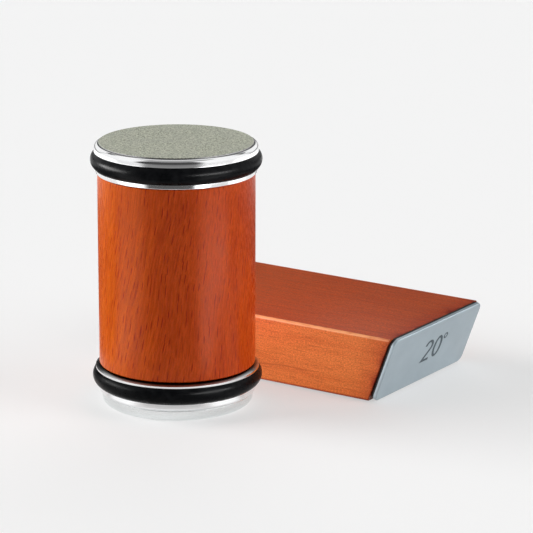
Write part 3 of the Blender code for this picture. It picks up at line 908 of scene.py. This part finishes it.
def digit_lines(digit):
    """The middle line of a plain digit nearly 8 mm high, and whether it closes."""
    if digit == "0":
        return bow((0, 0), (2.1, 3.85), 0, 360, 40)[:-1], True
    if digit == "o":
        return bow((0, 0), (0.95, 0.95), 0, 360, 28)[:-1], True
    if digit == "1":
        return [(0.35, -3.85), (0.35, 3.75), (-1.35, 2.6)], False
    if digit == "2":
        return bow((0, 1.75), (2.15, 2.1), 170, -32, 20) + [(-2.3, -3.85), (2.35, -3.85)], False
    bowl = bow((0, -1.35), (2.15, 2.5), 118, -155, 26)
    return [(1.95, 3.85), (-1.35, 3.85), (-1.75, 0.35)] + bowl[1:], False


def number(name, low, high):
    """An angle's digits and its degree sign, as strokes on the plate."""
    shapes = []
    for digit, x, y in ((name[0], -1.6, 0.8), (name[1], 4.8, 0.95), ("o", 8.9, 4.15)):
        line, closed = digit_lines(digit)
        width = degree_stroke if digit == "o" else digit_stroke
        shape = ribbon(lay(line, (x, y)), width * mm, low, high, closed)
        shape.transform(Matrix.Scale(stroke_stretch, 4, (1, 0, 0)))
        shapes.append(shape)
    return shapes


def add_block():
    """The angle block's visible pieces, in place of their CAD nodes, and the digits' paint."""
    body = make("wooden_block", shift(block(), block_shift, block_centre_y), block_wood)
    middle = block_shift + (tan(ends["15"][1]) - tan(ends["20"][1])) * block_height / 2
    rim = 0.05 * mm
    room = 0.3 * mm
    recess = slab(pad_length + 2 * room, pad_width + 2 * room, 4.3 * mm, -0.6 * mm, 1.8 * mm, rim, rim)
    carve(body, [make("recess", shift(recess, middle, block_centre_y), block_wood)])
    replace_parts(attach(body, "angle_block"), "block_body")
    shape = slab(pad_length, pad_width, 4 * mm, 0, pad_thickness, 0.3 * mm, 0.1 * mm)
    pad = make("rubber_pad", shift(shape, middle, block_centre_y), pad_rubber)
    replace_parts(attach(pad, "angle_block"), "base_pad")
    for name, (_, angle) in ends.items():
        height = block_height / cos(angle) - 2 * plate_inset
        width = block_width - 2 * plate_inset
        place = place_end(name)
        shape = slab(width, height, plate_corner, -plate_thickness, 0, 0.1 * mm, 0.4 * mm)
        plate = make("steel_plate_" + name, shape, plate_steel)
        strokes = number(name, -digit_depth, digit_overrun)
        carve(plate, [make("stroke", stroke, plate_steel) for stroke in strokes])
        plate.matrix_world = place
        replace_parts(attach(plate, "angle_block"), "plate_" + name)
        shape = join(number(name, digit_paint_low, digit_paint_high))
        inlay = make("digits_" + name, shape, digit_paint)
        inlay.matrix_world = place
        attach(inlay, "angle_block")
        top = -plate_thickness - 0.01 * mm
        inset = 0.9 * mm
        glue = slab(width - inset, height - inset, 2.3 * mm, top - glue_thickness, top, rim, rim)
        seam = make("glue_seam_" + name, glue, dark_glue)
        seam.matrix_world = place
        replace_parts(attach(seam, "angle_block"), "glue_sheet_" + name)


add_roller()
add_block()

# The nodes that keep their own meshes get the finish of the first word that their name has.
hidden_finishes = {
    "axle": plain_steel,
    "spacer_tube": aluminium,
    "bearing_cup": aluminium,
    "shield": plain_steel,
    "ring": bright_steel,
    "cage": nylon,
    "ball": bright_steel,
    "blade_magnet": nickel,
}
for node_name, node in frame["nodes"].items():
    for part, material in hidden_finishes.items():
        if part in node_name:
            node.data.materials.clear()
            node.data.materials.append(material)
            break


# Floor, light and camera. An azimuth of 0 is the camera's side, and a positive one is to its right.

camera_place = (0.5289, -0.7432, 0.2939)
camera_lens = 189.12
camera_turn = radians(33.54)
camera_pitch = radians(15.162)
camera_roll = radians(0.157)
ahead = Vector((-sin(camera_turn), cos(camera_turn), 0))
rightwards = Vector((cos(camera_turn), sin(camera_turn), 0))

floor_radius = 6.0
floor_drop = 0.05 * mm
floor_grey = 0.45
floor_glow = 0.52
even_light = 0.12
tent_gap_light = 0.05


def direction(azimuth, elevation):
    """The way towards an azimuth and an elevation, in degrees."""
    turn = radians(azimuth)
    rise = radians(elevation)
    return (rightwards * sin(turn) - ahead * cos(turn)) * cos(rise) + Vector((0, 0, sin(rise)))


def towards(tree, place, azimuth):
    """The cosine of the angle, seen from above, between a point and an azimuth."""
    flat = vector_maths(tree, "NORMALIZE", scaled(tree, place, (1, 1, 0)))
    return vector_maths(tree, "DOT_PRODUCT", flat, direction(azimuth, 0))


def sector(tree, place, azimuth, inner, outer, strength=1.0):
    """The strength up to some degrees from an azimuth, and 0 further off, with a soft border."""
    edges = (cos(radians(outer)), cos(radians(inner)))
    return remap(tree, towards(tree, place, azimuth), *edges, 0.0, strength)


def two_sectors(tree, place, left, right):
    return either(tree, sector(tree, place, *left), sector(tree, place, *right))


def paint(name, grey):
    """Matt paint that can glow white: what surface() gives."""
    constants = {"Base_Color": (grey, grey, grey, 1), "Emission_Color": (1, 1, 1, 1)}
    return surface(name, Specular_IOR_Level=0, **constants)


def add_floor():
    """A pale floor. Only what looks at it sees its glow, which lights nothing."""
    shape = bmesh.new()
    bmesh.ops.create_circle(shape, cap_ends=True, segments=96, radius=floor_radius)
    material, tree, shader, _ = paint("floor_paper", floor_grey)
    path = put(tree, "ShaderNodeLightPath").outputs
    seen = either(tree, path["Is Camera Ray"], path["Is Glossy Ray"])
    seen = either(tree, seen, path["Is Transmission Ray"])
    wire(tree, shader, Emission_Strength=product(tree, seen, floor_glow))
    floor = make("floor", shape, material)
    floor.location = (0, 0, -floor_drop)
    floor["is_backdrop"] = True


def reflection_only(card):
    """Leaves a card to what mirrors it: the camera, light and shadow pass it."""
    card.visible_camera = False
    card.visible_diffuse = False
    card.visible_shadow = False
    card.visible_transmission = False
    card.visible_volume_scatter = False
    card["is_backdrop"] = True


def add_dark_card():
    """A dark card before the roller, with rims that fade out."""
    left, right, top, distance = -0.25, 0.21, 0.36, 0.2
    shape = bmesh.new()
    corners = []
    for across, height in ((left, 0), (right, 0), (right, top), (left, top)):
        corners.append(shape.verts.new((across, 0, height)))
    shape.faces.new(corners)
    material, tree, shader, place = paint("dark_card", 0)
    across, _, height = axes(tree, place)
    cover = product(tree, remap(tree, across, -235, -150), remap(tree, across, 190, 95))
    wire(tree, shader, Alpha=cover, Emission_Strength=remap(tree, height, 38, 90, 0.28, 0.07))
    card = make("dark_card", shape, material)
    card.location = -ahead * distance
    card.rotation_euler = (0, 0, camera_turn)
    reflection_only(card)


def add_dark_ring():
    """A dark ring on the floor, off the roller's foot and the plates, with two lighter sectors.

    Nearer the foot lie a faint dark patch in front and a light one at each side."""
    card_radius = 0.36
    shape = bmesh.new()
    bmesh.ops.create_circle(shape, cap_ends=True, segments=96, radius=card_radius)
    material, tree, shader, place = paint("dark_ring", 0)
    radius = vector_maths(tree, "LENGTH", place)
    reach = maths(tree, "MULTIPLY_ADD", towards(tree, place, 0), -11.0, radius)
    ring = product(tree, remap(tree, reach, 64, 85), remap(tree, radius, 345, 290))
    for spot, inner, outer in (((100, 65, 0), 60, 95), ((-55, 62, 0), 36, 52)):
        beside = vector_maths(tree, "DISTANCE", place, spot)
        ring = product(tree, ring, remap(tree, beside, inner, outer))
    within = remap(tree, radius, 64, 54)
    near = product(tree, remap(tree, radius, 36, 44), within)
    near = product(tree, near, sector(tree, place, 0, 35, 65, 0.4))
    shine = product(tree, remap(tree, radius, 33, 38), within)
    shine = product(tree, shine, two_sectors(tree, place, (-60, 8, 30, 0.9), (54, 8, 30, 0.9)))
    bright = two_sectors(tree, place, (-66, 6, 28, 1.9), (54, 8, 30, 4.2))
    glow = maths(tree, "MULTIPLY_ADD", shine, 1.15, 0.1)
    wire(tree, shader,
         Alpha=either(tree, either(tree, near, ring), shine),
         Emission_Strength=maths(tree, "MULTIPLY_ADD", bright, ring, glow))
    card = make("dark_ring", shape, material)
    card.location = (0, 0, 0.2 * mm)
    reflection_only(card)


def add_high_cards():
    """White curved cards at both sides behind the roller, for the rim of the upper hub."""
    distance, low, high, steps = 0.17, 0.095, 0.2, 24
    shape = bmesh.new()
    rows = []
    for step in range(steps + 1):
        side = direction(100 + 160 * step / steps, 0) * distance
        rows.append([shape.verts.new((side.x, side.y, height)) for height in (low, high)])
    for first, second in zip(rows, rows[1:]):
        shape.faces.new((first[0], second[0], second[1], first[1]))
    material, tree, shader, place = paint("high_card", 0)
    _, _, height = axes(tree, place)
    sides = two_sectors(tree, place, (-143, 16, 27), (143, 16, 27))
    wire(tree, shader, Alpha=product(tree, sides, remap(tree, height, 95, 110)))
    shader.inputs["Emission Strength"].default_value = 1.0
    reflection_only(make("high_cards", shape, material))


def link_pieces(lamp, only, without):
    """Gives a lamp to some pieces, which no other piece shades, or keeps it off some."""
    group = bpy.data.collections.new(lamp.name + "_pieces")
    for piece in only or without:
        group.objects.link(piece)
    if without:
        for member in group.collection_objects:
            member.light_linking.link_state = "EXCLUDE"
    lamp.light_linking.receiver_collection = group
    if only:
        lamp.light_linking.blocker_collection = group


def hang(data, way):
    """Puts a lamp in the scene that shines from a way, and that the camera doesn't see."""
    lamp = bpy.data.objects.new(data.name, data)
    bpy.context.scene.collection.objects.link(lamp)
    lamp.rotation_euler = way.to_track_quat("Z", "Y").to_euler()
    lamp.visible_camera = False
    return lamp


def add_lamp(name, azimuth, elevation, spread, strength, only=None, without=None, mirrored=False):
    """A broad, distant studio lamp, for all, for some pieces only, or for all but some."""
    data = bpy.data.lights.new(name, "SUN")
    data.angle = radians(spread)
    data.energy = strength
    lamp = hang(data, direction(azimuth, elevation))
    lamp.visible_glossy = mirrored
    if only or without:
        link_pieces(lamp, only, without)


def add_near_lamp(name, only, target, azimuth, elevation, distance, size, strength):
    """An oval studio lamp near some pieces and for them alone, whose strength holds at its target."""
    data = bpy.data.lights.new(name, "AREA")
    data.shape = "ELLIPSE"
    data.size, data.size_y = size
    data.energy = strength * pi * distance**2
    way = direction(azimuth, elevation)
    lamp = hang(data, way)
    lamp.location = Vector(target) + way * distance
    link_pieces(lamp, only, None)


def add_lamps():
    block_pieces = [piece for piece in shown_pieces() if body_of(piece) == ["angle_block"]]
    plates = [piece for piece in block_pieces if "plate" in piece.name]
    tyres = [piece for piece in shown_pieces() if "tyre" in piece.name]
    upper_hub_only = [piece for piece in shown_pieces() if piece.name == "turned_upper_hub"]

    add_lamp("left_lamp", -95, 18, spread=45, strength=4.1, without=block_pieces)
    add_lamp("right_lamp", 70, 18, spread=40, strength=1.85)
    add_lamp("back_lamp", 170, 15, spread=60, strength=1.6)
    block_aim = (0.0144, 0.0325, 0.012)
    add_near_lamp("block_lamp", block_pieces, block_aim, -75, 12,
                  distance=0.6, size=(0.3, 0.3), strength=3.7)
    add_lamp("plate_lamp", 108, 10, spread=20, strength=0.5, only=plates, mirrored=True)
    tyre_aim = (0, 0, 0.1)
    for side, strength in (("upper", 7.0), ("lower", 2.4)):
        one_tyre = [piece for piece in tyres if side in piece.name]
        add_near_lamp("left_" + side + "_tyre_lamp", one_tyre, tyre_aim, -90, 3,
                      distance=0.3, size=(0.28, 0.1), strength=strength)
    add_near_lamp("right_tyre_lamp", tyres, tyre_aim, 50, 3,
                  distance=0.3, size=(0.32, 0.06), strength=6.2)
    for name, side in (("left_hub_lamp", -1), ("right_hub_lamp", 1)):
        flange = direction(side * 60, 0) * grip_radius + Vector((0, 0, upper_hub_level))
        add_near_lamp(name, upper_hub_only, flange, side * 122, -24,
                      distance=0.1, size=(0.17, 0.09), strength=1.0)


def add_world():
    """Even light all round. What mirrors it sees a white tent, open to the camera and low behind."""
    world = bpy.data.worlds.new("studio")
    bpy.context.scene.world = world
    world.use_nodes = True
    tree = world.node_tree
    place = put(tree, "ShaderNodeTexCoord").outputs["Generated"]
    _, _, height = axes(tree, place)
    ceiling = remap(tree, height, 0.7, 0.92, 0.0, 0.33)
    walls = two_sectors(tree, place, (-92, 30, 42), (80, 38, 52))
    behind = product(tree, sector(tree, place, 180, 78, 95), remap(tree, height, 0.6, 0.72))
    tent = product(tree, either(tree, walls, behind), remap(tree, height, 0.95, 0.86))
    level = maths(tree, "ADD", either(tree, tent, ceiling), tent_gap_light)
    mirrored = put(tree, "ShaderNodeLightPath").outputs["Is Glossy Ray"]
    inputs = {0: mirrored, 2: even_light, 3: level}
    shade = put(tree, "ShaderNodeMix", inputs, data_type="FLOAT").outputs[0]
    background = tree.nodes["Background"]
    background.inputs["Color"].default_value = (1, 1, 1, 1)
    tree.links.new(shade, background.inputs["Strength"])


def add_camera():
    data = bpy.data.cameras.new("camera")
    data.sensor_width = 36.0
    data.lens = camera_lens
    data.clip_end = 20.0
    camera = bpy.data.objects.new("camera", data)
    bpy.context.scene.collection.objects.link(camera)
    camera.location = camera_place
    turn = Matrix.Rotation(camera_turn, 4, "Z") @ Matrix.Rotation(pi / 2 - camera_pitch, 4, "X")
    camera.rotation_euler = (turn @ Matrix.Rotation(camera_roll, 4, "Z")).to_euler()
    bpy.context.scene.camera = camera


add_floor()
add_dark_card()
add_dark_ring()
add_high_cards()
add_lamps()
add_world()
add_camera()
bpy.context.scene.view_settings.view_transform = "Standard"
